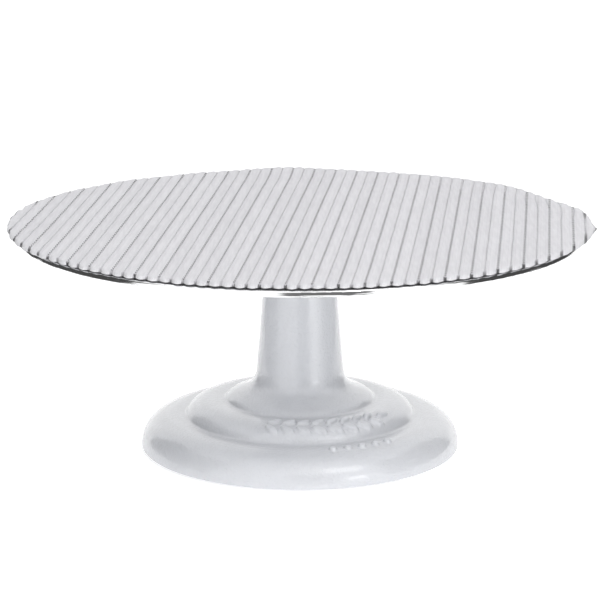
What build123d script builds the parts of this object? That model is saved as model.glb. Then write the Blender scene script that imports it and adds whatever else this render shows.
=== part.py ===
from build123d import *
import os
from math import cos, radians, sin

# Cake turntable: an enamelled cast iron pedestal that carries a free-running 12 inch aluminium plate.
# The spindle under the plate stands on one thrust ball. A ball bearing at the top of the column and a
# bronze bush at its foot guide it, and the plate lifts off with its spindle. A loose non-slip pad lies on top.
# Millimetres. The Z axis is the spin axis, z = 0 is the surface that the rubber feet stand on, -Y is the front.

# ---- driving dimensions ----
PLATE_D = 304.8              # 12 inches
PLATE_T = 3.175              # 1/8 inch
PLATE_EDGE_R = 1.5           # the rolled edge of the plate
PLATE_Z = 118.5              # underside of the plate
PAD_HALF_X = 157.0           # the pad is cut a little larger than the plate, and a little oval
PAD_HALF_Y = 153.2
PAD_SHIFT_Y = 2.4            # it lies this much towards the back
PAD_T = 2.8
EDGE_Z = 1.0                 # lower edge of the casting, above the surface
FOOT_R = 86.3                # radius of that edge
WALL = 5.0                   # the casting's wall
COLUMN_TOP_Z = 106.0
COLUMN_TOP_R = 18.6
SPINDLE_D = 11.94
SPINDLE_END_Z = 30.0
BALL_D = 8.0                 # thrust ball
BALL_Z = 28.0                # its centre
CUP_CLEARANCE = 0.05
FOOT_PAD_D = 16.0            # rubber feet
FOOT_PAD_H = 5.0
FOOT_PAD_AT = 71.0           # radius of the circle that they stand on
FOOT_ANGLES = (45, 135, 225, 315)

# deep groove ball bearing, 12 x 28 x 8
BRG_BORE = 12.0
BRG_OD = 28.0
BRG_W = 8.0
BRG_BALL_D = 4.762
BRG_BALLS = 8
BRG_PITCH_R = (BRG_BORE + BRG_OD) / 4
BRG_INNER_LAND_R = 8.6       # outside of the inner ring
BRG_OUTER_LAND_R = 11.4      # inside of the outer ring
BRG_GROOVE_R = BRG_BALL_D / 2 + 0.07
SHIELD_T = 0.4
CAGE_W = 6.2

SEAL_T = 2.0
CIRCLIP_T = 1.2
CIRCLIP_GROOVE_R = 14.7
SEAL_Z = COLUMN_TOP_Z - SEAL_T
CIRCLIP_Z = SEAL_Z - CIRCLIP_T
BRG_Z = CIRCLIP_Z - BRG_W
BRG_MID_Z = BRG_Z + BRG_W / 2
RELIEF_D = 23.0              # keeps the bearing's inner ring clear of the shoulder
RELIEF_DEPTH = 0.8

SHAFT_WAY_D = 14.0           # clearance bore down the column
PLUG_D = 16.0                # thread of the footstep plug, drawn at its outer diameter
BUSH_D = PLUG_D
BUSH_BORE_D = 12.04
BUSH_Z = 32.0
BUSH_L = 16.0
BOSS_R = 17.0                # boss inside the casting, round the plug
BOSS_Z = 10.0
PLUG_Z = 4.0
PLUG_TOP_Z = 26.0
LOCK_NUT_AF = 24.0
LOCK_NUT_T = 5.5

HUB_Z = 107.2
HUB_NECK_R = 18.0
HUB_FLANGE_R = 38.0
HUB_FLANGE_T = 5.5
HUB_BOLT_R = 28.0
PIN_Z = 109.8
PIN_D = 3.0

SCREW_D = 5.0                # countersunk hub screws
SCREW_HEAD_D = 9.2
SCREW_L = 8.0
FOOT_SCREW_D = 4.0
FOOT_SCREW_HEAD_D = 7.6
FOOT_SCREW_HEAD_H = 2.2
FOOT_SCREW_TIP_Z = 12.0
WASHER_D = 9.0
WASHER_T = 0.8
FOOT_RECESS_D = 10.0
FOOT_RECESS_H = 3.2


# ---- helpers ----
def tube(r_out, r_in, z, height):
    """A plain ring about the spin axis, standing on z."""
    ring = Cylinder(r_out, height, align=(Align.CENTER, Align.CENTER, Align.MIN))
    hole = Cylinder(r_in, height, align=(Align.CENTER, Align.CENTER, Align.MIN))
    return Pos(0, 0, z) * (ring - hole)


def disc(r, z, height):
    """A plain cylinder about the spin axis, standing on z."""
    return Pos(0, 0, z) * Cylinder(r, height, align=(Align.CENTER, Align.CENTER, Align.MIN))


def around(count, radius, start=0.0):
    """Places evenly spaced on a circle about the spin axis."""
    for i in range(count):
        a = radians(start + 360 / count * i)
        yield Pos(radius * cos(a), radius * sin(a), 0)


def foot_places():
    """The four places of the rubber feet."""
    return [Pos(FOOT_PAD_AT * cos(radians(a)), FOOT_PAD_AT * sin(radians(a)), 0) for a in FOOT_ANGLES]


def turned(edges):
    """A solid of revolution from the edges of its half section, drawn as (radius, height) in the XZ plane."""
    outline = Wire(edges)
    return revolve(Plane.XZ * make_face(outline), Axis.Z)


# ---- the casting ----
def casting_skin(raise_by=0.0):
    """The outer half section, from the lower edge to the top of the column, all solid.

    Three shallow tiers with soft steps between them run up into a tapered column. raise_by lifts the
    tiers, which gives the surface that the cast relief reaches."""
    base = EDGE_Z + raise_by
    p0 = (FOOT_R + raise_by, EDGE_Z)
    p1 = (66.0, base + 17.0)
    p2 = (61.9, base + 18.0)
    p3 = (44.0, base + 25.6)
    p4 = (40.2, base + 26.5)
    p5 = (23.5, base + 42.0)
    top = (COLUMN_TOP_R, COLUMN_TOP_Z)
    edges = [
        Bezier(p0, (FOOT_R + raise_by, base + 10.5), (79.0, base + 17.3), p1),
        Bezier(p1, (63.9, base + 17.0), (62.5, base + 16.9), p2),
        Bezier(p2, (59.9, base + 23.4), (53.0, base + 25.9), p3),
        Bezier(p3, (42.2, base + 25.55), (40.9, base + 25.5), p4),
        Bezier(p4, (36.7, base + 31.9), (24.5, base + 29.5), p5),
        Line(p5, top),
        Line(top, (0, COLUMN_TOP_Z)),
        Line((0, COLUMN_TOP_Z), (0, EDGE_Z)),
        Line((0, EDGE_Z), p0),
    ]
    return turned(edges)


def casting_hollow():
    """The space under the casting, which leaves an even wall, and the boss in its middle."""
    low = EDGE_Z - 1
    rim = (FOOT_R - WALL, low)
    edges = [
        Line((BOSS_R, low), rim),
        Bezier(rim, (FOOT_R - WALL, EDGE_Z + 7.0), (76.0, EDGE_Z + 12.0), (66.0, EDGE_Z + 12.0)),
        Line((66.0, EDGE_Z + 12.0), (58.0, EDGE_Z + 12.0)),
        Bezier((58.0, EDGE_Z + 12.0), (56.5, EDGE_Z + 19.0), (52.0, EDGE_Z + 20.5), (44.0, EDGE_Z + 20.6)),
        Line((44.0, EDGE_Z + 20.6), (37.0, EDGE_Z + 20.6)),
        Bezier((37.0, EDGE_Z + 20.6), (34.0, EDGE_Z + 25.0), (26.0, EDGE_Z + 27.0), (BOSS_R, EDGE_Z + 27.0)),
        Line((BOSS_R, EDGE_Z + 27.0), (BOSS_R, low)),
    ]
    return turned(edges)


def casting_ribs():
    """Four webs under the tiers, from the middle boss to the feet, and the bosses that the feet screw to."""
    web = Pos(47, 0, EDGE_Z + 15) * Box(64, 4, 14)
    webs = [Rot(0, 0, a) * web for a in FOOT_ANGLES]
    boss_h = FOOT_SCREW_TIP_Z + 2 - FOOT_PAD_H
    bosses = [p * disc(10.5, FOOT_PAD_H, boss_h) for p in foot_places()]
    return webs + bosses


def sprig(raised):
    """The cast relief on the second tier: a wheat ear lying on its side, with a row of beads below it.

    Each grain is an upright oval column, cut off by the raised skin, so the relief follows the casting."""
    shapes = []
    grain = Sketch() + Ellipse(4.2, 1.9)
    for i in range(8):
        turn = -105.2 + 8.6 * i
        for side in (1, -1):
            place = Rot(0, 0, turn) * Pos(54.0 + 3.3 * side, 0, 0) * Rot(0, 0, 90 - 32 * side)
            shapes.append(place * extrude(grain, 40))
    shapes.append(Rot(0, 0, -36) * Pos(54.0, 0, 0) * Rot(0, 0, 90) * extrude(grain, 40))
    for i in range(5):
        shapes.append(Rot(0, 0, -76 + 6.5 * i) * Pos(71.5, 0, 0) * Cylinder(2.0, 80))
    return Compound([raised & s for s in shapes])


def pedestal_casting():
    """The whole casting, bored for the bearing, the spindle, the bush and the footstep plug."""
    skin = casting_skin()
    body = skin - casting_hollow()
    for solid in casting_ribs():
        body += solid & skin
    for grain in sprig(casting_skin(1.3)).solids():
        body += grain - casting_hollow()
    body -= disc(BRG_OD / 2, BRG_Z, COLUMN_TOP_Z - BRG_Z)
    body -= disc(CIRCLIP_GROOVE_R, CIRCLIP_Z, CIRCLIP_T)
    body -= disc(RELIEF_D / 2, BRG_Z - RELIEF_DEPTH, RELIEF_DEPTH)
    body -= disc(SHAFT_WAY_D / 2, 0, COLUMN_TOP_Z)
    body -= disc(BUSH_D / 2, 0, BUSH_Z + BUSH_L)
    body -= disc(BOSS_R + 2, 0, BOSS_Z)
    for p in foot_places():
        body -= p * disc(FOOT_PAD_D / 2, 0, FOOT_PAD_H)
        body -= p * disc(FOOT_SCREW_D / 2, 0, FOOT_SCREW_TIP_Z)
    return body


# ---- the bearing ----
def race_groove():
    """The round channel that the balls run in, shared by both rings."""
    return Pos(0, 0, BRG_MID_Z) * Torus(BRG_PITCH_R, BRG_GROOVE_R)


def bearing_outer_ring():
    """The outer ring, with a seat for a shield at each side."""
    ring = tube(BRG_OD / 2, BRG_OUTER_LAND_R, BRG_Z, BRG_W) - race_groove()
    for z in (BRG_Z, BRG_Z + BRG_W - SHIELD_T):
        ring -= disc(BRG_OUTER_LAND_R + 0.7, z, SHIELD_T)
    return ring


def bearing_inner_ring():
    """The inner ring, which the spindle slides into and turns."""
    return tube(BRG_INNER_LAND_R, BRG_BORE / 2, BRG_Z, BRG_W) - race_groove()


def bearing_shield(z):
    """A thin pressed ring that closes the gap between the rings."""
    return tube(BRG_OUTER_LAND_R + 0.7, BRG_INNER_LAND_R + 0.15, z, SHIELD_T)


def bearing_balls():
    """The balls, evenly spaced."""
    places = around(BRG_BALLS, BRG_PITCH_R)
    return Compound([p * Pos(0, 0, BRG_MID_Z) * Sphere(BRG_BALL_D / 2) for p in places])


def bearing_cage():
    """A one-piece ring with a round pocket for each ball."""
    cage = tube(BRG_PITCH_R + 0.8, BRG_PITCH_R - 0.8, BRG_MID_Z - CAGE_W / 2, CAGE_W)
    pocket = Pos(BRG_PITCH_R, 0, BRG_MID_Z) * Rot(0, 90, 0) * Cylinder(BRG_BALL_D / 2 + 0.05, 4)
    for i in range(BRG_BALLS):
        cage -= Rot(0, 0, 360 / BRG_BALLS * i) * pocket
    return cage


def bearing_circlip():
    """An internal retaining ring with its gap and two lugs."""
    ring = tube(CIRCLIP_GROOVE_R, 12.2, CIRCLIP_Z, CIRCLIP_T)
    ring -= Pos(0, 13, CIRCLIP_Z + CIRCLIP_T / 2) * Box(5, 8, 2 * CIRCLIP_T)
    for side in (1, -1):
        lug = Pos(4.1 * side, 11.3, 0) * disc(1.7, CIRCLIP_Z, CIRCLIP_T)
        ring += lug - Pos(4.1 * side, 11.3, 0) * disc(0.8, CIRCLIP_Z, CIRCLIP_T)
    return ring


def dust_seal():
    """A felt ring over the circlip, just clear of the spindle."""
    return tube(BRG_OD / 2 - 0.05, SPINDLE_D / 2 + 0.25, SEAL_Z, SEAL_T)


# ---- the footstep ----
def ball_cup():
    """The hollow that the thrust ball sits in, in the plug and in the end of the spindle."""
    return Pos(0, 0, BALL_Z) * Sphere(BALL_D / 2 + CUP_CLEARANCE)


def footstep_plug():
    """A threaded plug with a hexagon socket below and a cup above."""
    plug = disc(PLUG_D / 2, PLUG_Z, PLUG_TOP_Z - PLUG_Z)
    plug = chamfer(plug.edges().sort_by(Axis.Z)[0], 1.0)
    socket = Pos(0, 0, PLUG_Z) * extrude(RegularPolygon(4.6, 6), 6)
    return plug - socket - ball_cup()


def lock_nut():
    """A thin hexagon nut against the boss, chamfered on its free face."""
    z = BOSS_Z - LOCK_NUT_T
    blank = Pos(0, 0, z) * extrude(RegularPolygon(LOCK_NUT_AF / 2, 6, major_radius=False), LOCK_NUT_T)
    cone = turned([
        Line((0, z), (LOCK_NUT_AF / 2 - 0.6, z)),
        Line((LOCK_NUT_AF / 2 - 0.6, z), (LOCK_NUT_AF / 2 + 2.4, z + 1.8)),
        Line((LOCK_NUT_AF / 2 + 2.4, z + 1.8), (LOCK_NUT_AF / 2 + 2.4, BOSS_Z)),
        Line((LOCK_NUT_AF / 2 + 2.4, BOSS_Z), (0, BOSS_Z)),
        Line((0, BOSS_Z), (0, z)),
    ])
    return (blank & cone) - disc(PLUG_D / 2, 0, BOSS_Z)


def lower_bush():
    """The bronze bush, with an oil groove round the middle of its bore."""
    bush = tube(BUSH_D / 2, BUSH_BORE_D / 2, BUSH_Z, BUSH_L)
    return bush - tube(BUSH_BORE_D / 2 + 0.6, BUSH_BORE_D / 2 - 1, BUSH_Z + BUSH_L / 2 - 1, 2)


# ---- the feet ----
def rubber_foot(place):
    """A slightly tapered rubber foot, with a deep recess for its screw and washer."""
    foot = Cone(FOOT_PAD_D / 2 - 1, FOOT_PAD_D / 2 - 0.05, FOOT_PAD_H,
                align=(Align.CENTER, Align.CENTER, Align.MIN))
    foot -= disc(FOOT_RECESS_D / 2, 0, FOOT_RECESS_H)
    foot -= disc(FOOT_SCREW_D / 2, 0, FOOT_PAD_H)
    return place * foot


def foot_washer():
    """The washer at the bottom of a foot's recess."""
    return tube(WASHER_D / 2, FOOT_SCREW_D / 2, FOOT_RECESS_H - WASHER_T, WASHER_T)


def foot_screw():
    """A pan head screw with a cross slot, through foot and washer into the casting's boss."""
    head_z = FOOT_RECESS_H - WASHER_T - FOOT_SCREW_HEAD_H
    head = disc(FOOT_SCREW_HEAD_D / 2, head_z, FOOT_SCREW_HEAD_H)
    head = fillet(head.edges().sort_by(Axis.Z)[0], 1.1)
    for turn in (0, 90):
        head -= Pos(0, 0, head_z) * Rot(0, 0, turn) * Box(4.4, 1.0, 2.2)
    shank_z = FOOT_RECESS_H - WASHER_T
    return head + disc(FOOT_SCREW_D / 2, shank_z, FOOT_SCREW_TIP_Z - shank_z)


# ---- the part that turns ----
def spindle():
    """The ground shaft, cupped at its lower end and cross drilled at its upper one."""
    top_z = PLATE_Z - 0.5
    shaft = disc(SPINDLE_D / 2, SPINDLE_END_Z, top_z - SPINDLE_END_Z)
    shaft = chamfer(shaft.edges().filter_by(GeomType.CIRCLE), 0.6)
    return shaft - ball_cup() - pin_way()


def pin_way():
    """The cross hole through hub and spindle."""
    return Pos(0, 0, PIN_Z) * Rot(0, 90, 0) * Cylinder(PIN_D / 2, 3 * HUB_NECK_R)


def spindle_pin():
    """A slotted spring pin."""
    length = 2 * HUB_NECK_R - 3
    pin = Cylinder(PIN_D / 2, length) - Cylinder(PIN_D / 2 - 0.5, length)
    pin -= Pos(PIN_D / 2, 0, 0) * Box(PIN_D, 0.6, length)
    return Pos(0, 0, PIN_Z) * Rot(0, 90, 0) * pin


def hub_screw_places():
    """The four places of the countersunk screws."""
    return around(4, HUB_BOLT_R, 45)


def hub_flange():
    """A turned hub: a neck over the spindle that spreads into a flange under the plate."""
    top = PLATE_Z
    flange = top - HUB_FLANGE_T
    rim = HUB_FLANGE_R - 1.0
    neck_z = HUB_Z + 1.0
    bore = SPINDLE_D / 2
    hub = turned([
        Line((bore, HUB_Z), (HUB_NECK_R - 1, HUB_Z)),
        Line((HUB_NECK_R - 1, HUB_Z), (HUB_NECK_R, neck_z)),
        Line((HUB_NECK_R, neck_z), (HUB_NECK_R, flange - 2)),
        Bezier((HUB_NECK_R, flange - 2), (HUB_NECK_R, flange), (HUB_NECK_R + 2, flange)),
        Line((HUB_NECK_R + 2, flange), (rim, flange)),
        Line((rim, flange), (HUB_FLANGE_R, flange + 1)),
        Line((HUB_FLANGE_R, flange + 1), (HUB_FLANGE_R, top)),
        Line((HUB_FLANGE_R, top), (bore, top)),
        Line((bore, top), (bore, HUB_Z)),
    ])
    for p in hub_screw_places():
        hub -= p * disc(SCREW_D / 2, flange, HUB_FLANGE_T)
    return hub - pin_way()


def screw_blank():
    """One countersunk screw with its head's top flush with the plate, and no socket."""
    top = PLATE_Z + PLATE_T
    head_h = (SCREW_HEAD_D - SCREW_D) / 2
    return turned([
        Line((0, top), (SCREW_HEAD_D / 2, top)),
        Line((SCREW_HEAD_D / 2, top), (SCREW_D / 2, top - head_h)),
        Line((SCREW_D / 2, top - head_h), (SCREW_D / 2, top - SCREW_L)),
        Line((SCREW_D / 2, top - SCREW_L), (0, top - SCREW_L)),
        Line((0, top - SCREW_L), (0, top)),
    ])


def hub_screws():
    """The four countersunk screws, with hexagon sockets."""
    socket = Pos(0, 0, PLATE_Z + PLATE_T - 1.5) * extrude(RegularPolygon(1.7, 6), 3)
    screw = screw_blank() - socket
    return Compound([p * screw for p in hub_screw_places()])


def turntable_plate():
    """The round plate, with a rolled edge and four countersunk holes."""
    plate = disc(PLATE_D / 2, PLATE_Z, PLATE_T)
    plate = fillet(plate.edges().filter_by(GeomType.CIRCLE), PLATE_EDGE_R)
    for p in hub_screw_places():
        plate -= p * screw_blank()
    return plate


def non_slip_pad():
    """The loose pad, as the plain block of material that it is cut from."""
    outline = Pos(0, PAD_SHIFT_Y, PLATE_Z + PLATE_T) * Ellipse(PAD_HALF_X, PAD_HALF_Y)
    return extrude(outline, PAD_T)


def thrust_ball():
    """The ball that carries the spindle."""
    return Pos(0, 0, BALL_Z) * Sphere(BALL_D / 2)


def nodes():
    """Every sub-part under its own name."""
    made = {
        "pedestal_casting": pedestal_casting(),
        "bearing_outer_ring": bearing_outer_ring(),
        "bearing_shield_upper": bearing_shield(BRG_Z + BRG_W - SHIELD_T),
        "bearing_shield_lower": bearing_shield(BRG_Z),
        "bearing_circlip": bearing_circlip(),
        "dust_seal": dust_seal(),
        "lower_bush": lower_bush(),
        "footstep_plug": footstep_plug(),
        "lock_nut": lock_nut(),
        "foot_screws": Compound([p * foot_screw() for p in foot_places()]),
        "foot_washers": Compound([p * foot_washer() for p in foot_places()]),
        "bearing_inner_ring": bearing_inner_ring(),
        "bearing_cage": bearing_cage(),
        "bearing_balls": bearing_balls(),
        "thrust_ball": thrust_ball(),
        "spindle": spindle(),
        "spindle_pin": spindle_pin(),
        "hub_flange": hub_flange(),
        "hub_screws": hub_screws(),
        "turntable_plate": turntable_plate(),
        "non_slip_pad": non_slip_pad(),
    }
    for number, place in enumerate(foot_places(), 1):
        made[f"rubber_foot_{number}"] = rubber_foot(place)
    return made


os.makedirs("parts", exist_ok=True)
for name, shape in nodes().items():
    export_step(shape, f"parts/{name}.step")
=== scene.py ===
# %% [markdown]
# A cake turntable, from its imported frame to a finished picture. The frame gives every rigid part its place
# and size. This script gives the parts their finishes, and models anew the two pieces that a plain solid
# can't stand for: the soft ribbed pad, and the pedestal with its thick, flooded coat of enamel.

# %% The frame
import math
import random

import bpy
import numpy as np
from mathutils import Matrix, Vector


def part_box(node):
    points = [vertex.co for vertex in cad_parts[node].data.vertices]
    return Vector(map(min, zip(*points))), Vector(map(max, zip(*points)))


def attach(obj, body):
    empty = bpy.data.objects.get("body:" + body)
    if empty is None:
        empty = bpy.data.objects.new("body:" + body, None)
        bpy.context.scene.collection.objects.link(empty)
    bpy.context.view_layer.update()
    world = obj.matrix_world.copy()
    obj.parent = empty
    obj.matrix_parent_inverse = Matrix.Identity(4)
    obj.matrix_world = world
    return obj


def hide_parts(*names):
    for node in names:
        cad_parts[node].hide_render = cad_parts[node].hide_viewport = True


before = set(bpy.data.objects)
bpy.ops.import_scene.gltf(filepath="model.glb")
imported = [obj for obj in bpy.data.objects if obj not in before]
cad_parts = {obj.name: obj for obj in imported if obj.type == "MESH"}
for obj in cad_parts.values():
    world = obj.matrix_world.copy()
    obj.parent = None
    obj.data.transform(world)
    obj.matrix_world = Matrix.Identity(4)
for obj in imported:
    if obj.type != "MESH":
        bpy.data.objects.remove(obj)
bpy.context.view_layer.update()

MM = 0.001
random.seed(12)
plate_low, plate_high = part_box("turntable_plate")
pad_low, pad_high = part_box("non_slip_pad")
cast_low, cast_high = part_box("pedestal_casting")
print("plate", plate_low[:], plate_high[:])
print("pad", pad_low[:], pad_high[:])

# %% [markdown]
# The camera stands a little over a metre away and looks down at about thirteen degrees, with a long lens,
# so that the plate is a flat ellipse and the column under it shows. It is placed from the floor and the
# spin axis, which are the frame's own origin.

# %% Camera
CAMERA_AT = Vector((0.0, -1.340, 0.40409))
LOOK_AT = Vector((0.0, 0.0, 0.08097))
camera_data = bpy.data.cameras.new("studio_camera")
camera_data.sensor_width = 36.0
camera_data.lens = 153.0
camera = bpy.data.objects.new("studio_camera", camera_data)
bpy.context.scene.collection.objects.link(camera)
camera.location = CAMERA_AT
camera.rotation_mode = "QUATERNION"
camera.rotation_quaternion = (LOOK_AT - CAMERA_AT).to_track_quat("-Z", "Y")
bpy.context.scene.camera = camera
bpy.context.scene.view_settings.view_transform = "Standard"
print("camera", round((LOOK_AT - CAMERA_AT).length, 3), "m from what it looks at")

# %% [markdown]
# Shader maths is easier to read as Python. Value wraps an output socket, so that 1 - mask or a * b adds the
# Math nodes it needs. Board is one node tree: its node method adds any other node from its type, its
# settings and the values or links of its sockets.

# %% A small language for node trees
# where a Mix node keeps its two colours or two vectors, and their result
MIX_COLOURS, MIXED_COLOUR = (6, 7), 2
MIX_VECTORS, MIXED_VECTOR = (4, 5), 1


class Value:
    """An output socket that takes part in ordinary expressions."""

    def __init__(self, board, socket):
        self.board = board
        self.socket = socket

    def math(self, operation, *values):
        inputs = dict(enumerate(values))
        return self.board.node("ShaderNodeMath", {"operation": operation}, inputs)

    def __add__(self, other):
        return self.math("ADD", self, other)

    def __radd__(self, other):
        return self.math("ADD", other, self)

    def __sub__(self, other):
        return self.math("SUBTRACT", self, other)

    def __rsub__(self, other):
        return self.math("SUBTRACT", other, self)

    def __mul__(self, other):
        return self.math("MULTIPLY", self, other)

    def __rmul__(self, other):
        return self.math("MULTIPLY", other, self)

    def __truediv__(self, other):
        return self.math("DIVIDE", self, other)

    def __neg__(self):
        return self.math("MULTIPLY", self, -1.0)

    def __pow__(self, other):
        return self.math("POWER", self, other)

    def sin(self):
        return self.math("SINE", self)

    def abs(self):
        return self.math("ABSOLUTE", self)

    def floor(self):
        return self.math("FLOOR", self)

    def fract(self):
        return self.math("FRACT", self)

    def sqrt(self):
        return self.math("SQRT", self)

    def least(self, other):
        return self.math("MINIMUM", self, other)

    def most(self, other):
        return self.math("MAXIMUM", self, other)

    def step(self, low, high):
        """0 below low, 1 above high, and a smooth rise between them."""
        sockets = {"Value": self, "From Min": low, "From Max": high}
        return self.board.node("ShaderNodeMapRange", {"interpolation_type": "SMOOTHSTEP"}, sockets)

    def bump(self, beyond, inside=0.0):
        """1 within inside of zero, falling smoothly to 0 at beyond."""
        return 1 - self.abs().step(inside, beyond)


class Board:
    """One node tree, of a material or of the world."""

    def __init__(self, tree):
        self.tree = tree
        tree.nodes.clear()

    def put(self, socket, value):
        if isinstance(value, Value):
            self.tree.links.new(value.socket, socket)
        elif isinstance(value, tuple) and socket.type == "RGBA":
            socket.default_value = (*value, 1.0)
        else:
            socket.default_value = value

    def node(self, kind, settings=None, sockets=None, out=0):
        made = self.tree.nodes.new(kind)
        for name, value in (settings or {}).items():
            setattr(made, name, value)
        for key, value in (sockets or {}).items():
            self.put(made.inputs[key], value)
        return Value(self, made.outputs[out]) if made.outputs else None

    def xyz(self, kind="Object"):
        """The three coordinates of a point, in metres on the object or as a direction in the world."""
        place = self.node("ShaderNodeTexCoord", out=kind)
        parts = place.socket.node.outputs
        split = self.node("ShaderNodeSeparateXYZ", sockets={0: Value(self, parts[kind])})
        outputs = split.socket.node.outputs
        return [Value(self, outputs[i]) for i in range(3)]

    def noise(self, size, detail=2.0, rough=0.5, stretch=(1, 1, 1)):
        """Soft noise whose lumps are about size metres across."""
        place = self.node("ShaderNodeTexCoord", out="Object")
        spread = self.node("ShaderNodeMapping", sockets={"Vector": place, "Scale": stretch})
        sockets = {"Vector": spread, "Scale": 1.0 / size, "Detail": detail, "Roughness": rough}
        return self.node("ShaderNodeTexNoise", sockets=sockets)

    def blend(self, mask, low, high):
        """One colour where mask is 0, another where it is 1."""
        sockets = {0: mask, MIX_COLOURS[0]: low, MIX_COLOURS[1]: high}
        return self.node("ShaderNodeMix", {"data_type": "RGBA"}, sockets, out=MIXED_COLOUR)

    def blend_normals(self, mask, low, high):
        """One normal where mask is 0, another where it is 1."""
        sockets = {0: mask, MIX_VECTORS[0]: low, MIX_VECTORS[1]: high}
        return self.node("ShaderNodeMix", {"data_type": "VECTOR"}, sockets, out=MIXED_VECTOR)

    def relief(self, height, depth, strength):
        """A normal from a height between 0 and 1, depth metres deep."""
        sockets = {"Height": height, "Distance": depth, "Strength": strength}
        return self.node("ShaderNodeBump", sockets=sockets)


def finish(name, paint):
    """A material with one Principled shader. paint(board) returns what its sockets take."""
    material = bpy.data.materials.new(name)
    material.use_nodes = True
    board = Board(material.node_tree)
    shader = board.node("ShaderNodeBsdfPrincipled", sockets=paint(board))
    board.node("ShaderNodeOutputMaterial", sockets={"Surface": shader})
    print("finish", name, len(material.node_tree.nodes), "nodes")
    return material


# %% [markdown]
# The light. A product like this is shot on a white sweep, so nearly everything round it is white. What
# gives a polished rim its drawing is what isn't: the dark room at both sides, and the dark shape of the
# camera stand in front. The world holds those as soft patches of direction, and the camera itself sees
# plain white, whichever side it looks from.

# %% World
ROOM_DARK = 0.07
ROOM_WHITE = 1.25
CARD_GLOW = 1.0
SIDE_FROM = 0.42         # where a dark side begins in front, as a slope of y on x
SIDE_TO = 1.19           # and where it ends behind
SIDE_TOP = (0.72, 0.90)  # the height at which it fades into the ceiling
STAND_AT = 0.165         # the stand is a little to the right of the camera
STAND_DARK = 0.9
CARD_AT = (0.63, -0.05)


def room(board):
    """White all round, dark at both sides and at the camera's stand, with a bright card by the stand."""
    x, y, z = board.xyz("Generated")
    wide = x.abs()
    side = (y + wide * SIDE_FROM).step(-0.03, 0.03) * (wide * SIDE_TO - y).step(-0.06, 0.06)
    side = side * (1 - z.step(*SIDE_TOP))
    stand = (x - STAND_AT).bump(0.31, 0.26) * z.bump(0.62, 0.50) * (-y).step(0.35, 0.5)
    card = (x - CARD_AT[0]).bump(0.19, 0.10) * (z - CARD_AT[1]).bump(0.12, 0.06) * (-y).step(0.5, 0.7)
    dark = side.most(stand * STAND_DARK)
    return ROOM_WHITE + dark * (ROOM_DARK - ROOM_WHITE) + card * CARD_GLOW


world = bpy.data.worlds.new("studio")
world.use_nodes = True
bpy.context.scene.world = world
sky = Board(world.node_tree)
seen = sky.node("ShaderNodeLightPath", out="Is Camera Ray")
around = sky.node("ShaderNodeBackground", sockets={"Color": (1, 1, 1), "Strength": room(sky)})
behind = sky.node("ShaderNodeBackground", sockets={"Color": (1, 1, 1), "Strength": 1.0})
both = sky.node("ShaderNodeMixShader", sockets={0: seen, 1: around, 2: behind})
sky.node("ShaderNodeOutputWorld", sockets={"Surface": both})

# %% Lamps
AIM = Vector((0, 0, 0.06))


def softbox(name, azimuth, elevation, distance, wide, high, power):
    """A rectangular lamp that looks at the column. Azimuth 0 is in front, and positive to the right."""
    data = bpy.data.lights.new(name, "AREA")
    data.shape = "RECTANGLE"
    data.size = wide
    data.size_y = high
    data.energy = power
    lamp = bpy.data.objects.new(name, data)
    bpy.context.scene.collection.objects.link(lamp)
    a, e = math.radians(azimuth), math.radians(elevation)
    way = Vector((math.sin(a) * math.cos(e), -math.cos(a) * math.cos(e), math.sin(e)))
    lamp.location = AIM + way * distance
    lamp.rotation_mode = "QUATERNION"
    lamp.rotation_quaternion = (-way).to_track_quat("-Z", "Y")
    lamp.visible_camera = False
    return lamp


softbox("key_softbox", 36, 46, 1.2, 0.54, 0.58, 2.7)
softbox("low_softbox", 40, 5.5, 1.1, 0.25, 0.17, 0.65)

# %% [markdown]
# The floor is a plain pale sheet, as wide as the white sweep, so that past its sides the rim reflects
# the dark room. It is lit from below too, as a product table is, so that it stays white under the plate.

# %% Floor
FLOOR_GLOW = 0.42
FLOOR_HALF = 0.42
FLOOR_FRONT = -0.38
FLOOR_BACK = 2.2


def everything_off():
    """Deselects all, because the frame's own parts come in selected."""
    if bpy.context.object and bpy.context.object.mode != "OBJECT":
        bpy.ops.object.mode_set(mode="OBJECT")
    bpy.ops.object.select_all(action="DESELECT")


def floor_paint(board):
    tone = board.noise(0.4, 3.0)
    colour = board.blend(tone, (0.90, 0.90, 0.90), (0.93, 0.93, 0.93))
    return {
        "Base Color": colour,
        "Roughness": 0.9,
        "Emission Color": (1.0, 1.0, 1.0),
        "Emission Strength": FLOOR_GLOW,
    }


everything_off()
bpy.ops.mesh.primitive_plane_add(size=1.0, location=(0, (FLOOR_FRONT + FLOOR_BACK) / 2, 0))
floor = bpy.context.object
floor.name = "studio_floor"
floor.scale = (2 * FLOOR_HALF, FLOOR_BACK - FLOOR_FRONT, 1.0)
bpy.ops.object.transform_apply(location=True, rotation=True, scale=True)
floor.data.materials.append(finish("floor_sheet", floor_paint))

# %% [markdown]
# The pad is knitted: flat ribs side by side, each with three cords along it and a stitch every four
# millimetres. Neighbours are caught together between the stitches, so that a row of small holes shows along
# every second seam, and the seams between those are closed. It could be a plane with a bump, but then its
# edge would be a knife cut and nothing would show through. It is modelled as the real one is made: one
# stitch of one rib, repeated along the rib, the rib repeated across the pad, and the ends then drawn in to
# the cut outline.

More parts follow.
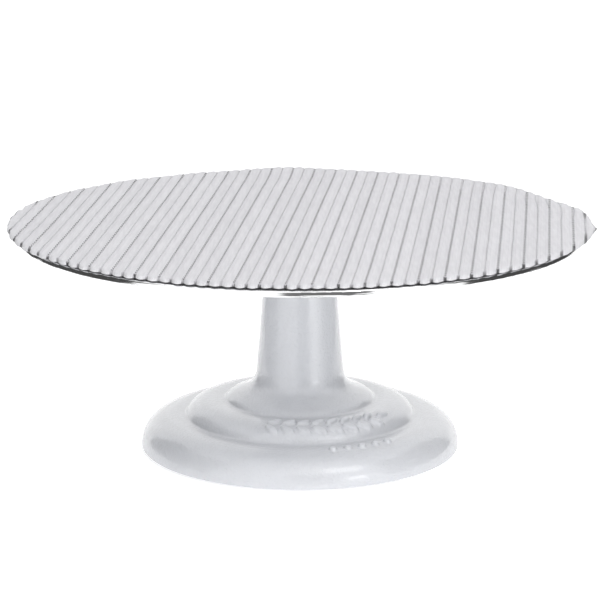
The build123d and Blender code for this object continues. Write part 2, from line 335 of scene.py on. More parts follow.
# %% Sizes of the pad
RIB_PITCH = 6.3 * MM
SEAM_AT = 0.9 * MM
FIRST_RIB = SEAM_AT + RIB_PITCH / 2
STITCH = 4.0 * MM
RIB_TURN = math.radians(5.5)
RIB_HALF = 3.14 * MM
OPEN_SEAM = 0.66 * MM
CLOSED_SEAM = 0.14 * MM
RIB_EDGE = 1.76 * MM
CORD_TOP = 2.15 * MM
CORD_DIP = 0.20 * MM
STITCH_DIP = 0.12 * MM
HOLE_HALF = 0.2          # of a stitch
CRESTS = (-0.84, 0.0, 0.84)  # of half a rib
DIPS = (-0.42, 0.42)
PAST_SHOULDER = 1.05     # of RIB_EDGE, above which only the cords reach
TOOTH = 2.9 * MM
TOOTH_POWER = 1.8
TOOTH_FALL = 2.2 * MM
TOOTH_LIP = 0.2 * RIB_EDGE
FRAY = 0.3 * MM
CUT_JITTER = 0.45 * MM
PAD_FOOT = plate_high.z + 0.15 * MM
PAD_CENTRE = (pad_low + pad_high) / 2
PAD_HALF = (pad_high - pad_low) / 2


def active(name):
    """Names the object that an operator just made, and returns it."""
    made = bpy.context.object
    made.name = made.data.name = name
    return made


def edit(piece, mode="VERT"):
    """Opens one piece in edit mode with nothing in it selected."""
    everything_off()
    bpy.context.view_layer.objects.active = piece
    piece.select_set(True)
    bpy.ops.object.mode_set(mode="EDIT")
    bpy.ops.mesh.select_mode(type=mode)
    bpy.ops.mesh.select_all(action="DESELECT")


def pick(piece, kind, test):
    """Selects the vertices or faces that pass a test on their middle point, from inside edit mode."""
    bpy.ops.object.mode_set(mode="OBJECT")
    parts = piece.data.vertices if kind == "VERT" else piece.data.polygons
    for part in parts:
        part.select = bool(test(part.co if kind == "VERT" else part.center, part))
    bpy.ops.object.mode_set(mode="EDIT")


def apply_modifier(piece, kind, **settings):
    """Adds a modifier with these settings and applies it."""
    everything_off()
    bpy.context.view_layer.objects.active = piece
    piece.select_set(True)
    modifier = piece.modifiers.new(kind.lower(), kind)
    for name, value in settings.items():
        setattr(modifier, name, value)
    bpy.ops.object.modifier_apply(modifier=modifier.name)


def points_of(piece):
    """A piece's points as an array, in metres."""
    points = np.empty(len(piece.data.vertices) * 3)
    piece.data.vertices.foreach_get("co", points)
    return points.reshape(-1, 3)


def put_points(piece, points):
    """Writes the points back."""
    piece.data.vertices.foreach_set("co", points.ravel())
    piece.data.update()


def rise(t):
    """A smooth step from 0 to 1, as an array."""
    t = np.clip(t, 0, 1)
    return t * t * (3 - 2 * t)


# %% One stitch of one rib
def one_stitch():
    """A low block, cut along into six strips and across twice, whose crests are then pulled up."""
    everything_off()
    middle = (0, STITCH / 2, RIB_EDGE / 2)
    bpy.ops.mesh.primitive_cube_add(size=1.0, location=middle)
    stitch = active("stitch")
    stitch.scale = (2 * RIB_HALF, STITCH, RIB_EDGE)
    bpy.ops.object.transform_apply(location=True, rotation=True, scale=True)
    edit(stitch, "FACE")
    crests = [RIB_HALF * s for s in CRESTS]
    dips = [RIB_HALF * s for s in DIPS]
    for x in sorted(crests + dips):
        pick(stitch, "FACE", lambda c, f: f.normal.z > 0.5)
        bpy.ops.mesh.bisect(plane_co=(x, 0, 0), plane_no=(1, 0, 0))
    bpy.ops.mesh.select_all(action="SELECT")
    bpy.ops.mesh.bisect(plane_co=(0, STITCH * HOLE_HALF, 0), plane_no=(0, 1, 0))
    bpy.ops.mesh.select_all(action="SELECT")
    bpy.ops.mesh.bisect(plane_co=(0, STITCH * (1 - HOLE_HALF), 0), plane_no=(0, 1, 0))
    pick(stitch, "FACE", lambda c, f: abs(f.normal.y) > 0.5)
    bpy.ops.mesh.delete(type="FACE")
    inner = RIB_HALF * 0.95
    pick(stitch, "VERT", lambda c, v: abs(c.x) < inner and c.z > RIB_EDGE * 0.9)
    bpy.ops.transform.translate(value=(0, 0, CORD_TOP - CORD_DIP - RIB_EDGE))
    cords = RIB_EDGE * PAST_SHOULDER
    pick(stitch, "VERT", lambda c, v: c.z > cords and min(abs(c.x - x) for x in crests) < 1e-5)
    bpy.ops.transform.translate(value=(0, 0, CORD_DIP))
    pick(stitch, "VERT", lambda c, v: c.z > cords and abs(c.y - STITCH / 2) > STITCH * 0.4)
    bpy.ops.transform.translate(value=(0, 0, -STITCH_DIP))
    bpy.ops.object.mode_set(mode="OBJECT")
    return stitch


stitch = one_stitch()
print("one stitch has", len(stitch.data.polygons), "faces")

# %% All the ribs
rib_reach = PAD_HALF.x + RIB_PITCH
rib_count = 2 * int(rib_reach / RIB_PITCH)
stitch_count = 2 * int((PAD_HALF.y + 2 * STITCH) / STITCH)
first_u = FIRST_RIB - RIB_PITCH * (rib_count // 2)
first_v = -STITCH * stitch_count / 2


def repeat(piece, across, along):
    """Repeats a piece along a rib and then across the pad, and welds what meets."""
    apply_modifier(piece, "ARRAY", count=along, use_relative_offset=False, use_constant_offset=True,
                   constant_offset_displace=(0, STITCH, 0), use_merge_vertices=True, merge_threshold=1e-5)
    apply_modifier(piece, "ARRAY", count=across, use_relative_offset=False, use_constant_offset=True,
                   constant_offset_displace=(RIB_PITCH, 0, 0))
    points = points_of(piece)
    points[:, 0] += first_u
    points[:, 1] += first_v
    put_points(piece, points)


repeat(stitch, rib_count, stitch_count)
print(rib_count, "ribs of", stitch_count, "stitches")

# %% [markdown]
# The pad is cut as one oval, but a knit doesn't cut as cleanly as card: each rib's end is a small rounded
# tooth. So the outline is worked out rib by rib, in the ribs' own turned axes: u across them and v along.

# %% The outline of the pad
def chord(u):
    """Where the oval starts and ends along v, at each u, in the ribs' turned axes."""
    c, s = math.cos(RIB_TURN), math.sin(RIB_TURN)
    a2, b2 = PAD_HALF.x ** 2, PAD_HALF.y ** 2
    x0, y0 = u * c - PAD_CENTRE.x, -u * s - PAD_CENTRE.y
    qa = s * s / a2 + c * c / b2
    qb = 2 * (x0 * s / a2 + y0 * c / b2)
    qc = x0 * x0 / a2 + y0 * y0 / b2 - 1
    root = np.sqrt(np.maximum(qb * qb - 4 * qa * qc, 0))
    return (-qb - root) / (2 * qa), (-qb + root) / (2 * qa)


rib_jitter = np.array([random.uniform(-1, 1) for _ in range(2 * (rib_count + 2))]) * CUT_JITTER


def cut_to_outline(piece):
    """Draws everything past the outline in to it, so that each rib ends in a tooth that rolls down."""
    points = points_of(piece)
    u, v, z = points.T
    start, end = chord(u)
    middle = (start + end) / 2
    rib = np.round((u - FIRST_RIB) / RIB_PITCH)
    across = (u - FIRST_RIB - rib * RIB_PITCH) / RIB_HALF
    index = (rib + rib_count // 2 + 1).astype(int)
    fray = FRAY * (1 + np.sin(u * 5200))
    tooth = np.minimum(TOOTH * np.abs(across) ** TOOTH_POWER + fray, (end - start) * 0.45)
    front = np.minimum(start + tooth + rib_jitter[index], middle)
    back = np.maximum(end - tooth - rib_jitter[index + rib_count + 2], middle)
    inside = np.clip(np.minimum(v - front, back - v) / TOOTH_FALL, 0, 1)
    roll = np.sqrt(inside * (2 - inside))
    points[:, 1] = np.clip(v, front, back)
    points[:, 2] = np.where(z < TOOTH_LIP, 0.0, TOOTH_LIP + (z - TOOTH_LIP) * roll)
    put_points(piece, points)


cut_to_outline(stitch)
edit(stitch)
bpy.ops.mesh.select_all(action="SELECT")
bpy.ops.mesh.remove_doubles(threshold=2e-6)
bpy.ops.mesh.dissolve_degenerate(threshold=1e-6)
bpy.ops.mesh.select_all(action="SELECT")
bpy.ops.mesh.fill_holes(sides=0)
bpy.ops.mesh.select_all(action="SELECT")
bpy.ops.mesh.normals_make_consistent(inside=False)
bpy.ops.object.mode_set(mode="OBJECT")
print("ribs have", len(stitch.data.polygons), "faces")

# %% [markdown]
# A loose pad never lies dead flat. Its back edge stands off the plate in slow waves, its sides in small
# lumps, and the ribs wander by a fraction of a millimetre.

# %% Laying the pad on the plate
EDGE_FROM = 0.80         # of the pad's half size, where its loose edge begins
EDGE_LIFT = 0.3 * MM
CREST_LIFT = 1.5 * MM    # one high wave, at the back
RIPPLE_LIFT = 0.3 * MM
LUMP_LIFT = 0.5 * MM
SOFTNESS = 0.10 * MM
STRAYS = [
    # where the cut strays from its oval: degrees from the front towards the right, breadth, and millimetres
    (134, 9, 1.8), (113, 8, -3.0), (100, 6, 1.2), (-150, 14, -0.8),
]


def pinch(u, v):
    """Draws each rib in at its stitches, which opens a row of holes along every second seam."""
    centre = FIRST_RIB + np.round((u - FIRST_RIB) / RIB_PITCH) * RIB_PITCH
    from_stitch = 0.5 - np.abs(v / STITCH % 1 - 0.5)
    drawn = np.clip(1 - from_stitch / HOLE_HALF, 0, 1)
    seam = np.floor((u - FIRST_RIB) / RIB_PITCH)
    waist = np.where(seam % 2 == 0, OPEN_SEAM, CLOSED_SEAM)
    return centre + (u - centre) * (1 - drawn * waist / RIB_HALF)


def lie(piece):
    """Turns the ribs to their real direction, lets them wander, and gives the pad its slow waves."""
    points = points_of(piece)
    u, v, z = points.T
    u = pinch(u, v)
    wander = 0.06 * MM * np.sin(v * 61 + u * 23) + 0.05 * MM * np.sin(v * 143 - u * 70 + 1.0)
    wide = u + wander
    c, s = math.cos(RIB_TURN), math.sin(RIB_TURN)
    x, y = wide * c + v * s, -wide * s + v * c
    angle = np.arctan2(x, -(y - PAD_CENTRE.y))
    out = np.hypot((x - PAD_CENTRE.x) / PAD_HALF.x, (y - PAD_CENTRE.y) / PAD_HALF.y)
    rim = rise((out - EDGE_FROM) / (1 - EDGE_FROM))
    stray = np.zeros(len(points))
    for at, breadth, push in STRAYS:
        away = (np.degrees(angle) - at + 180) % 360 - 180
        stray += push * MM * np.exp(-(away / breadth) ** 2)
    stretch = 1 + rim * stray / PAD_HALF.x
    back = rise((-np.cos(angle) - 0.05) / 0.8)
    side = rise((np.abs(np.sin(angle)) - 0.86) / 0.12)
    crest = np.exp(-((np.degrees(angle) % 360 - 184) / 8) ** 2)
    ripple = 0.5 + 0.5 * np.sin(17 * angle + 2.0 * np.sin(3 * angle))
    lumps = 0.5 + 0.5 * np.sin(58 * angle + 1.5 * np.sin(7 * angle))
    waves = back * (CREST_LIFT * crest + RIPPLE_LIFT * ripple)
    lift = rim * (EDGE_LIFT + waves + side * LUMP_LIFT * lumps)
    soft = SOFTNESS * (1 + np.sin(x * 41 + 1.3) * np.sin(y * 37)) / 2
    points[:, 0] = x * stretch
    points[:, 1] = PAD_CENTRE.y + (y - PAD_CENTRE.y) * stretch
    points[:, 2] = z + PAD_FOOT + lift + soft
    put_points(piece, points)


lie(stitch)
everything_off()
stitch.select_set(True)
bpy.context.view_layer.objects.active = stitch
pad = active("ribbed_pad")
bpy.ops.object.shade_smooth_by_angle(angle=math.radians(62))
print("pad", len(pad.data.polygons), "faces", len(pad.data.vertices), "points")

# %% [markdown]
# The yarn is coated with a soft plastic, pale with a breath of lilac. Close to, it shows the lie of its
# fibres: short slanting strokes along each cord. Shade is painted darker into its colour in the cord dips,
# the seams and holes between the ribs, the notches between its teeth and along its foot on the plate.

# %% The pad's finish
YARN_DULL = (0.645, 0.64, 0.67)
YARN_PALE = (0.765, 0.76, 0.79)
YARN_EDGE_PALE = (0.80, 0.80, 0.82)
# the dark grey that the painted shade and the fibre strokes blend the yarn towards
SHADE_AND_STROKE_GREY = (0.07, 0.07, 0.075)


def pad_paint(board):
    x, y, z = board.xyz()
    c, s = math.cos(RIB_TURN), math.sin(RIB_TURN)
    u = x * c - y * s
    v = x * s + y * c
    place = (u - SEAM_AT) / RIB_PITCH
    rib = place.fract() - 0.5
    stitch_at = (v / STITCH).fract() - 0.5
    open_seam = ((place + 0.5).floor() * 0.5).fract() * 2
    own = ((place.floor() * 12.99).sin() * 437.5).fract()
    # painted shade, darker in the dips between the cords
    valley = (rib.abs() - 0.21).bump(0.07, 0.01)
    # painted shade, darker in the seams between the ribs
    gap = rib.abs().step(0.425, 0.465)
    # painted shade in the holes, over the real openings along the seams
    hole = rib.abs().step(0.37, 0.42) * stitch_at.abs().step(0.28, 0.36) * (0.15 + open_seam * 0.85)
    # painted shade along the pad's foot, where it lies on the plate
    low = 1 - (z - PAD_FOOT).step(0.25 * MM, 0.8 * MM)
    strokes = (v * (math.tau / (STITCH / 3)) + rib.abs() * 16).sin() * 0.5 + 0.5
    ticks = strokes * rib.abs().step(0.22, 0.40)
    fuzz = board.noise(0.45 * MM, 2.0, 0.6)
    cloud = board.noise(24 * MM, 3.0, 0.55)
    grain = board.noise(1.5 * MM, 3.0, 0.6, stretch=(1, 0.1, 1)).step(0.36, 0.64)
    out = ((x / PAD_HALF.x) ** 2 + ((y - PAD_CENTRE.y) / PAD_HALF.y) ** 2).step(0.945, 0.985)
    # painted shade on the teeth's sides, so that the spaces between the teeth at the outline look dark
    notch = out * rib.abs().step(0.32, 0.44)
    yarn = board.blend(cloud * 0.3 + own * 0.25 + grain * 0.45, YARN_DULL, YARN_PALE)
    # the colour is blended paler towards the pad's outline
    yarn = board.blend(out * 0.3, yarn, YARN_EDGE_PALE)
    # all of the painted shade, together with the fibre strokes, which are the yarn's own marks
    painted_shade_and_ticks = valley * 0.06 + gap * 0.05 + ticks * 0.08 + low * 0.15
    shade = hole * 0.85 + painted_shade_and_ticks + notch * 0.8
    colour = board.blend(shade.least(0.94), yarn, SHADE_AND_STROKE_GREY)
    height = strokes * 0.6 + fuzz * 0.4
    return {
        "Base Color": colour,
        "Roughness": 0.66 + fuzz * 0.2,
        "Normal": board.relief(height, 0.20 * MM, 0.8),
        "Sheen Weight": 0.2,
        "Sheen Roughness": 0.5,
        "Specular IOR Level": 0.35,
    }


pad.data.materials.clear()
pad.data.materials.append(finish("coated_knit", pad_paint))
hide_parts("non_slip_pad")
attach(pad, "pad")

# %% [markdown]
# The pedestal is one iron casting: three shallow tiers that rise in soft steps to a tapered column, hollow
# underneath, with a boss in the middle. It could be made tier by tier from cylinders and bevels. A founder
# and a turner both think of it as one half section turned round the axis, so that is what is drawn here: a
# closed Bezier outline, made a chain of edges, and spun.

# %% The casting's half section
SPIN_STEPS = 240
EDGE = cast_low.z / MM
TOP = cast_high.z / MM
FOOT = cast_high.x / MM
STRAIGHT = None
SECTION = [
    # the handle that arrives, the knot, the handle that leaves, as (radius, height) in millimetres
    (STRAIGHT, (FOOT - 0.9, EDGE), (FOOT - 0.3, EDGE)),
    ((FOOT, EDGE + 0.3), (FOOT, EDGE + 1.0), (FOOT, EDGE + 10.5)),
    ((79.0, EDGE + 17.3), (66.0, EDGE + 17.0), (63.9, EDGE + 17.0)),
    ((62.5, EDGE + 16.9), (61.9, EDGE + 18.0), (59.9, EDGE + 23.4)),
    ((53.0, EDGE + 25.9), (44.0, EDGE + 25.6), (42.2, EDGE + 25.55)),
    ((40.9, EDGE + 25.5), (40.2, EDGE + 26.5), (36.7, EDGE + 31.9)),
    ((24.5, EDGE + 29.5), (23.5, EDGE + 42.0), STRAIGHT),
    (STRAIGHT, (18.63, TOP - 0.7), (18.6, TOP - 0.3)),
    ((18.3, TOP), (17.9, TOP), STRAIGHT),
    (STRAIGHT, (14.0, TOP), STRAIGHT),
    (STRAIGHT, (14.0, TOP - 2.0), STRAIGHT),
    (STRAIGHT, (14.7, TOP - 2.0), STRAIGHT),
    (STRAIGHT, (14.7, TOP - 3.2), STRAIGHT),
    (STRAIGHT, (14.0, TOP - 3.2), STRAIGHT),
    (STRAIGHT, (14.0, TOP - 11.2), STRAIGHT),
    (STRAIGHT, (11.5, TOP - 11.2), STRAIGHT),
    (STRAIGHT, (11.5, TOP - 12.0), STRAIGHT),
    (STRAIGHT, (7.0, TOP - 12.0), STRAIGHT),
    (STRAIGHT, (7.0, 48.0), STRAIGHT),
    (STRAIGHT, (8.0, 48.0), STRAIGHT),
    (STRAIGHT, (8.0, 10.0), STRAIGHT),
    (STRAIGHT, (16.5, 10.0), STRAIGHT),
    (STRAIGHT, (17.0, 10.5), STRAIGHT),
    (STRAIGHT, (17.0, EDGE + 25.0), (17.0, EDGE + 26.2)),
    ((18.0, EDGE + 27.0), (19.2, EDGE + 27.0), (26.0, EDGE + 27.0)),
    ((34.0, EDGE + 25.0), (37.0, EDGE + 20.6), STRAIGHT),
    (STRAIGHT, (44.0, EDGE + 20.6), (52.0, EDGE + 20.5)),
    ((56.5, EDGE + 19.0), (58.0, EDGE + 12.0), STRAIGHT),
    (STRAIGHT, (66.0, EDGE + 12.0), (76.0, EDGE + 12.0)),
    ((FOOT - 5.0, EDGE + 7.0), (FOOT - 5.0, EDGE + 0.6), (FOOT - 5.0, EDGE + 0.2)),
    ((FOOT - 4.8, EDGE), (FOOT - 4.4, EDGE), STRAIGHT),
]


def half_section():
    """Draws the closed outline upright on the X axis, and makes it a chain of edges."""
    everything_off()
    bpy.ops.curve.primitive_bezier_curve_add()
    drawn = active("enamelled_pedestal")
    drawn.data.resolution_u = 14
    spline = drawn.data.splines[0]
    spline.bezier_points.add(len(SECTION) - 2)
    spline.use_cyclic_u = True
    for point, (arrive, knot, leave) in zip(spline.bezier_points, SECTION):
        point.handle_left_type = point.handle_right_type = "FREE"
        places = [p if p is not STRAIGHT else knot for p in (arrive, knot, leave)]
        point.handle_left, point.co, point.handle_right = [(r * MM, 0, z * MM) for r, z in places]
    bpy.ops.object.convert(target="MESH")
    return active("enamelled_pedestal")


pedestal = half_section()
edit(pedestal)
bpy.ops.mesh.select_all(action="SELECT")
bpy.ops.mesh.remove_doubles(threshold=1e-6)
bpy.ops.mesh.dissolve_limited(angle_limit=math.radians(0.4))
bpy.ops.object.mode_set(mode="OBJECT")
print("half section", len(pedestal.data.vertices), "points")

# %% Turning it
edit(pedestal)
bpy.ops.mesh.select_all(action="SELECT")
bpy.ops.mesh.spin(steps=SPIN_STEPS, angle=math.tau, center=(0, 0, 0), axis=(0, 0, 1))
bpy.ops.mesh.select_all(action="SELECT")
bpy.ops.mesh.remove_doubles(threshold=1e-6)
bpy.ops.mesh.normals_make_consistent(inside=False)
bpy.ops.object.mode_set(mode="OBJECT")
print("turned casting", len(pedestal.data.polygons), "faces")

# %% [markdown]
# Under the tiers, a web runs out from the middle boss to each foot, where a small boss takes the foot's
# screw. They are cast in one with the rest, so they are joined to it with an exact boolean. The top of each
# stays inside the thickness of the wall above it.

# %% Webs and foot bosses
# how far out, and how high, each web reaches up into the wall above it, in millimetres
WEB_LEVELS = [(15.5, 24.0), (36.0, 24.0), (44.0, 23.0), (53.5, 22.3), (58.5, 17.0), (61.0, 15.0),
              (70.0, 14.6), (77.0, 13.0), (80.0, 10.5)]
FOOT_CIRCLE = 71.0
WEB_WIDE = 4
WEB_MIDDLE, WEB_HIGH = 16, 14
BOSS_RADIUS, BOSS_HIGH, BOSS_MIDDLE = 10.5, 9, 9.5
BOSS_TOP = ([60, 72, 82], [15, 14, 11])  # radii, heights
SCREW_RADIUS, SCREW_DEEP, SCREW_MIDDLE = 2, 9, 7.5


def one_web():
    """One web, its top shaped to the ceiling that it meets, with its foot boss and screw hole."""
    everything_off()
    inner, outer = WEB_LEVELS[0][0], WEB_LEVELS[-1][0]
    bpy.ops.mesh.primitive_cube_add(size=1.0, location=((inner + outer) / 2 * MM, 0, WEB_MIDDLE * MM))
    web = active("web")
    web.scale = ((outer - inner) * MM, WEB_WIDE * MM, WEB_HIGH * MM)
    bpy.ops.object.transform_apply(location=True, rotation=True, scale=True)
    edit(web)
    for r, _ in WEB_LEVELS[1:-1]:
        bpy.ops.mesh.select_all(action="SELECT")
        bpy.ops.mesh.bisect(plane_co=(r * MM, 0, 0), plane_no=(1, 0, 0))
    bpy.ops.object.mode_set(mode="OBJECT")
    points = points_of(web)
    upper = points[:, 2] > WEB_MIDDLE * MM
    levels = np.interp(points[:, 0] / MM, *zip(*WEB_LEVELS)) * MM
    points[:, 2] = np.where(upper, levels, points[:, 2])
    put_points(web, points)
    apply_modifier(web, "BEVEL", width=0.7 * MM, segments=3, limit_method="ANGLE")

    everything_off()
    bpy.ops.mesh.primitive_cylinder_add(vertices=48, radius=BOSS_RADIUS * MM, depth=BOSS_HIGH * MM,
                                        location=(FOOT_CIRCLE * MM, 0, BOSS_MIDDLE * MM))
    boss = active("foot_boss")
    bpy.ops.object.transform_apply(location=True, rotation=True, scale=True)
    points = points_of(boss)
    upper = points[:, 2] > BOSS_MIDDLE * MM
    reach = np.hypot(points[:, 0], points[:, 1]) / MM
    points[:, 2] = np.where(upper, np.interp(reach, *BOSS_TOP) * MM, points[:, 2])
    put_points(boss, points)
    everything_off()
    bpy.ops.mesh.primitive_cylinder_add(vertices=32, radius=SCREW_RADIUS * MM, depth=SCREW_DEEP * MM,
                                        location=(FOOT_CIRCLE * MM, 0, SCREW_MIDDLE * MM))
    hole = active("screw_hole")
    bpy.ops.object.transform_apply(location=True, rotation=True, scale=True)
    apply_modifier(web, "BOOLEAN", operation="UNION", object=boss, solver="EXACT")
    apply_modifier(web, "BOOLEAN", operation="DIFFERENCE", object=hole, solver="EXACT")
    for tool in (boss, hole):
        bpy.data.objects.remove(tool)
    return web


def turned_copy(piece, angle):
    """A copy of a piece with its own mesh, turned about the spin axis."""
    copy = piece.copy()
    copy.data = piece.data.copy()
    bpy.context.scene.collection.objects.link(copy)
    copy.data.transform(Matrix.Rotation(angle, 4, "Z"))
    return copy


web = one_web()
webs = [turned_copy(web, math.radians(45 + 90 * i)) for i in range(4)]
bpy.data.objects.remove(web)
everything_off()
for piece in webs:
    piece.select_set(True)
bpy.context.view_layer.objects.active = webs[0]
bpy.ops.object.join()
apply_modifier(pedestal, "BOOLEAN", operation="UNION", object=webs[0], solver="EXACT")
bpy.data.objects.remove(webs[0])
print("casting with webs", len(pedestal.data.polygons), "faces")

# %% [markdown]
# The second tier carries a cast relief, here a wheat ear lying on its side with a row of beads below it.
# Separate grains stuck on would show a hard line round each. Cast iron under enamel has none: the coat floods
# the corners. So the skin itself is divided finely there, and its points are raised into soft grains.

# %% The cast relief
RELIEF = 1.75 * MM
EAR_REACH = 54.0         # millimetres from the axis to the middle of the ear
EAR_FROM, EAR_STEP, EAR_PAIRS, EAR_TIP = -105.2, 8.6, 8, -36
GRAIN_ASIDE, GRAIN_SPLAY = 3.3, 32
GRAIN_AXES = (4.3, 2.0)
BEAD_REACH, BEAD_RADIUS = 71.5, 2.1
BEAD_FROM, BEAD_STEP, BEADS = -76, 6.5, 5
RELIEF_RADII = (46, 58, 76)             # inner, between the two tiers, outer
RELIEF_TURNS = (-114, -29)              # degrees about the axis
RELIEF_FLOORS = (22.2 * MM, 15.6 * MM)  # below these heights the skin isn't the upper one


def grains():
    """Each raised form: its distance and turn about the axis, the way it lies, and its two half axes."""
    forms = []
    for i in range(EAR_PAIRS):
        turn = math.radians(EAR_FROM + EAR_STEP * i)
        for side in (1, -1):
            lie_of = turn + math.radians(90 - GRAIN_SPLAY * side)
            forms.append((EAR_REACH + GRAIN_ASIDE * side, turn, lie_of, *GRAIN_AXES))
    forms.append((EAR_REACH, math.radians(EAR_TIP), math.radians(EAR_TIP + 90), *GRAIN_AXES))
    for i in range(BEADS):
        turn = math.radians(BEAD_FROM + BEAD_STEP * i)
        forms.append((BEAD_REACH, turn, turn, BEAD_RADIUS, BEAD_RADIUS))
    return forms


def in_sector(place, face):
    """The upper skin of the second tier and of the edge of the first, where the relief is."""
    radius = math.hypot(place.x, place.y) / MM
    angle = math.degrees(math.atan2(place.y, place.x))
    near = RELIEF_RADII[0] + 0.5 < radius < RELIEF_RADII[2] - 0.5
    return face.normal.z > 0.15 and near and RELIEF_TURNS[0] < angle < RELIEF_TURNS[1]


edit(pedestal, "FACE")
pick(pedestal, "FACE", in_sector)
bpy.ops.mesh.subdivide(number_cuts=3)
bpy.ops.object.mode_set(mode="OBJECT")
points = points_of(pedestal)
radius = np.hypot(points[:, 0], points[:, 1]) / MM
lowest = np.where(radius < RELIEF_RADII[1], *RELIEF_FLOORS)
upper = (radius > RELIEF_RADII[0]) & (radius < RELIEF_RADII[2]) & (points[:, 2] > lowest)
height = np.zeros(len(points))
for reach, turn, lie_of, long_half, short_half in grains():
    dx = points[:, 0] - reach * MM * math.cos(turn)
    dy = points[:, 1] - reach * MM * math.sin(turn)
    along = dx * math.cos(lie_of) + dy * math.sin(lie_of)
    aside = dy * math.cos(lie_of) - dx * math.sin(lie_of)
    away = np.hypot(along / (long_half * MM), aside / (short_half * MM))
    dome = 0.82 * rise((1.16 - away) / 0.42) + 0.18 * np.clip(1 - away * away, 0, 1)
    height = np.maximum(height, dome)
points[:, 2] += np.where(upper, height * RELIEF, 0)
put_points(pedestal, points)
everything_off()
pedestal.select_set(True)
bpy.context.view_layer.objects.active = pedestal
bpy.ops.object.shade_smooth_by_angle(angle=math.radians(38))
print("pedestal", len(pedestal.data.polygons), "faces")

# %% [markdown]
# The coat is thick white enamel with a breath of blue. It is glossy, but never flat: it keeps the cast skin's
# slow waves and has its own fine orange peel, so highlights on it break up at their edges. The bores and the
# face for the lock nut were machined after coating, and are bare iron.

# %% The enamel
COAT_GREY = (0.645, 0.66, 0.70)
COAT_PALE = (0.69, 0.70, 0.73)
COAT_PIT = (0.54, 0.56, 0.61)
BARE_IRON = (0.42, 0.42, 0.43)


def enamel_paint(board):
    x, y, z = board.xyz()
    radius = (x * x + y * y).sqrt()
    bore = 1 - radius.step(14.72 * MM, 14.8 * MM)
    nut_face = (1 - radius.step(17.1 * MM, 17.2 * MM)) * (1 - z.step(10.1 * MM, 10.4 * MM))
    bare = bore.most(nut_face)
    waves = board.noise(12 * MM, 2.0, 0.5)
    peel = board.noise(1.5 * MM, 2.0, 0.55)
    pits = board.noise(0.8 * MM, 1.0, 0.5).step(0.66, 0.76)
    cloud = board.noise(45 * MM, 3.0, 0.5)
    coat = board.blend(cloud, COAT_GREY, COAT_PALE)
    coat = board.blend(pits * 0.35, coat, COAT_PIT)
    height = waves * 0.9 + peel * 0.8 - pits * 0.2
    return {
        "Base Color": board.blend(bare, coat, BARE_IRON),
        "Metallic": bare,
        "Roughness": 0.17 + peel * 0.10 + bare * 0.22,
        "Normal": board.relief(height, 0.6 * MM, 0.8),
        "Coat Weight": (1 - bare) * 0.7,
        "Coat Roughness": 0.05,
        "Specular IOR Level": 0.6,
    }


pedestal.data.materials.clear()
pedestal.data.materials.append(finish("flooded_enamel", enamel_paint))
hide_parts("pedestal_casting")
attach(pedestal, "base")

# %% [markdown]
# The other parts keep their exact CAD shapes and get their finishes here. Most are metal, and what tells one
# metal from another is its colour, how sharp its reflections are, and the marks of how it was made: rings
# from a lathe, a grind along a shaft, grains of a casting, or a thin cloudy plating.

# %% Metals
def metal(name, colour, worn, rough, marks, depth, turned=None, strength=0.5):
    """A metal between two colours. marks is the size of its grain, and turned a pitch of lathe rings."""
    def paint(board):
        x, y, z = board.xyz()
        grain = board.noise(marks, 3.0, 0.6)
        cloud = board.noise(22 * MM, 3.0, 0.55)
        height = grain
        if turned:
            radius = (x * x + y * y).sqrt()
            wobble = board.noise(14 * MM, 1.0, 0.5) * 0.6
            height = ((radius + z) * (math.tau / turned) + wobble).sin() * 0.35 + grain * 0.3 + 0.5
        return {
            "Base Color": board.blend(cloud.step(0.35, 0.75), colour, worn),
            "Metallic": 1.0,
            "Roughness": rough + cloud * rough * 0.5 + grain * rough * 0.3,
            "Normal": board.relief(height, depth, strength),
        }
    return finish(name, paint)


def matt(name, colour, worn, rough, marks, depth):
    """Rubber or felt, between two colours."""
    def paint(board):
        grain = board.noise(marks, 4.0, 0.65)
        dust = board.noise(9 * MM, 3.0, 0.6).step(0.42, 0.72)
        return {
            "Base Color": board.blend(dust, colour, worn),
            "Roughness": rough + grain * 0.15,
            "Normal": board.relief(grain, depth, 0.8),
        }
    return finish(name, paint)


def wear(material, *names):
    """Gives a finish to the slots of the named CAD parts."""
    for name in names:
        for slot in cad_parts[name].material_slots:
            slot.material = material
    print(material.name, "on", ", ".join(names))


# %% [markdown]
# The plate is spun aluminium. Its faces keep the fine rings of the tool, which blur what they reflect, while
# its rolled edge is buffed bright, and there the dark sides of the room show as bands. The edge is nearly
# flat in its middle and turns over at both lips. Its normal is worked out from the height, with the
# buffing's own fine lines in it, so that the bands break into streaks.

# %% The plate
EDGE_ROUND = 1.5 * MM


def rolled_normal(board, x, y, z, radius):
    """The normal of the plate's edge: level at half height, and up or down at the lips."""
    middle = (plate_low.z + plate_high.z) / 2
    height = (z - middle) / ((plate_high.z - plate_low.z) / 2)
    lines = board.noise(0.42 * MM, 1.0, 0.5, stretch=(0.02, 0.02, 1)) - 0.5
    up = (height * height.abs() + lines * 0.7).least(0.98).most(-0.98)
    level = (1 - up * up).sqrt() / radius
    normal = board.node("ShaderNodeCombineXYZ", sockets={0: x * level, 1: y * level, 2: up})
    turned = {"vector_type": "NORMAL", "convert_from": "OBJECT", "convert_to": "WORLD"}
    return board.node("ShaderNodeVectorTransform", turned, {0: normal})


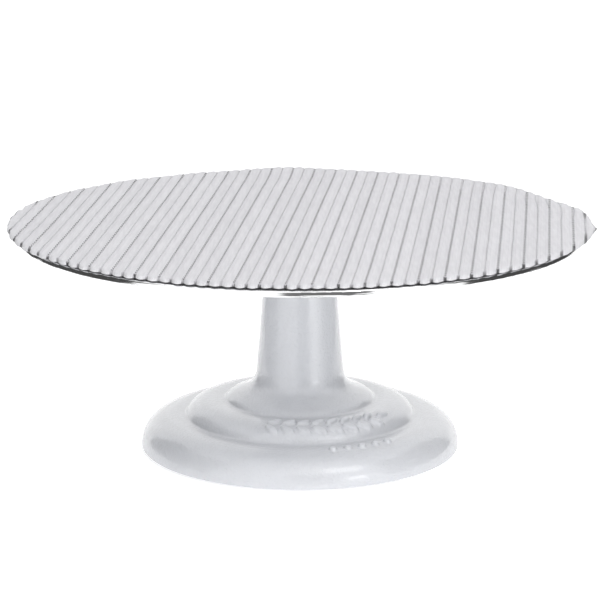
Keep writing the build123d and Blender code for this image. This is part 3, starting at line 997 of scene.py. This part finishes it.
def plate_paint(board):
    x, y, z = board.xyz()
    radius = (x * x + y * y).sqrt()
    rim = radius.step(plate_high.x - 1.9 * MM, plate_high.x - 1.2 * MM)
    rings = (radius * (math.tau / (0.7 * MM)) + board.noise(16 * MM, 1.0)).sin() * 0.5 + 0.5
    grain = board.noise(0.35 * MM, 2.0, 0.6)
    cloud = board.noise(35 * MM, 3.0, 0.55).step(0.35, 0.7)
    scuff = board.noise(2.5 * MM, 3.0, 0.6, stretch=(1, 1, 6)).step(0.62, 0.8)
    face = board.relief((rings * 0.6 + grain * 0.4) * (1 - rim), 0.012 * MM, 0.5)
    edge = (radius - (plate_high.x - EDGE_ROUND)).step(-0.05 * MM, 0.05 * MM)
    rolled = rolled_normal(board, x, y, z, radius)
    return {
        "Base Color": board.blend(cloud, (0.89, 0.89, 0.90), (0.83, 0.835, 0.84)),
        "Metallic": 1.0,
        "Roughness": 0.24 - rim * 0.17 + grain * 0.05 + scuff * 0.06,
        "Normal": board.blend_normals(edge, face, rolled),
    }


wear(finish("spun_aluminium", plate_paint), "turntable_plate")

# %% The small parts
wear(metal("cast_hub", (0.70, 0.71, 0.72), (0.60, 0.61, 0.62), 0.30, 0.8 * MM, 0.08 * MM), "hub_flange")
wear(metal("zinc_plate", (0.66, 0.68, 0.70), (0.56, 0.57, 0.58), 0.26, 0.5 * MM, 0.02 * MM),
     "foot_screws", "foot_washers", "footstep_plug", "lock_nut", "hub_screws")
wear(metal("race_steel", (0.62, 0.62, 0.63), (0.55, 0.55, 0.56), 0.14, 0.3 * MM, 0.01 * MM, turned=0.35 * MM),
     "bearing_outer_ring", "bearing_inner_ring")
wear(metal("ball_polish", (0.72, 0.72, 0.73), (0.66, 0.66, 0.68), 0.05, 0.6 * MM, 0.004 * MM),
     "bearing_balls", "thrust_ball")
shaft = metal("ground_shaft", (0.64, 0.64, 0.66), (0.56, 0.56, 0.58), 0.18, 0.4 * MM, 0.012 * MM,
              turned=0.3 * MM)
wear(shaft, "spindle")
wear(metal("pressed_sheet", (0.58, 0.58, 0.60), (0.50, 0.50, 0.52), 0.28, 0.6 * MM, 0.02 * MM),
     "bearing_shield_upper", "bearing_shield_lower")
wear(metal("blued_spring", (0.20, 0.21, 0.25), (0.13, 0.13, 0.16), 0.30, 0.5 * MM, 0.03 * MM),
     "bearing_circlip", "spindle_pin")
bronze = metal("oiled_bronze", (0.66, 0.44, 0.22), (0.48, 0.30, 0.15), 0.27, 0.5 * MM, 0.02 * MM,
               turned=0.4 * MM)
wear(bronze, "lower_bush", "bearing_cage")
wear(matt("foot_rubber", (0.035, 0.035, 0.037), (0.075, 0.073, 0.07), 0.72, 0.7 * MM, 0.05 * MM),
     "rubber_foot_1", "rubber_foot_2", "rubber_foot_3", "rubber_foot_4")
wear(matt("wool_felt", (0.34, 0.33, 0.31), (0.22, 0.21, 0.20), 0.85, 0.45 * MM, 0.25 * MM), "dust_seal")
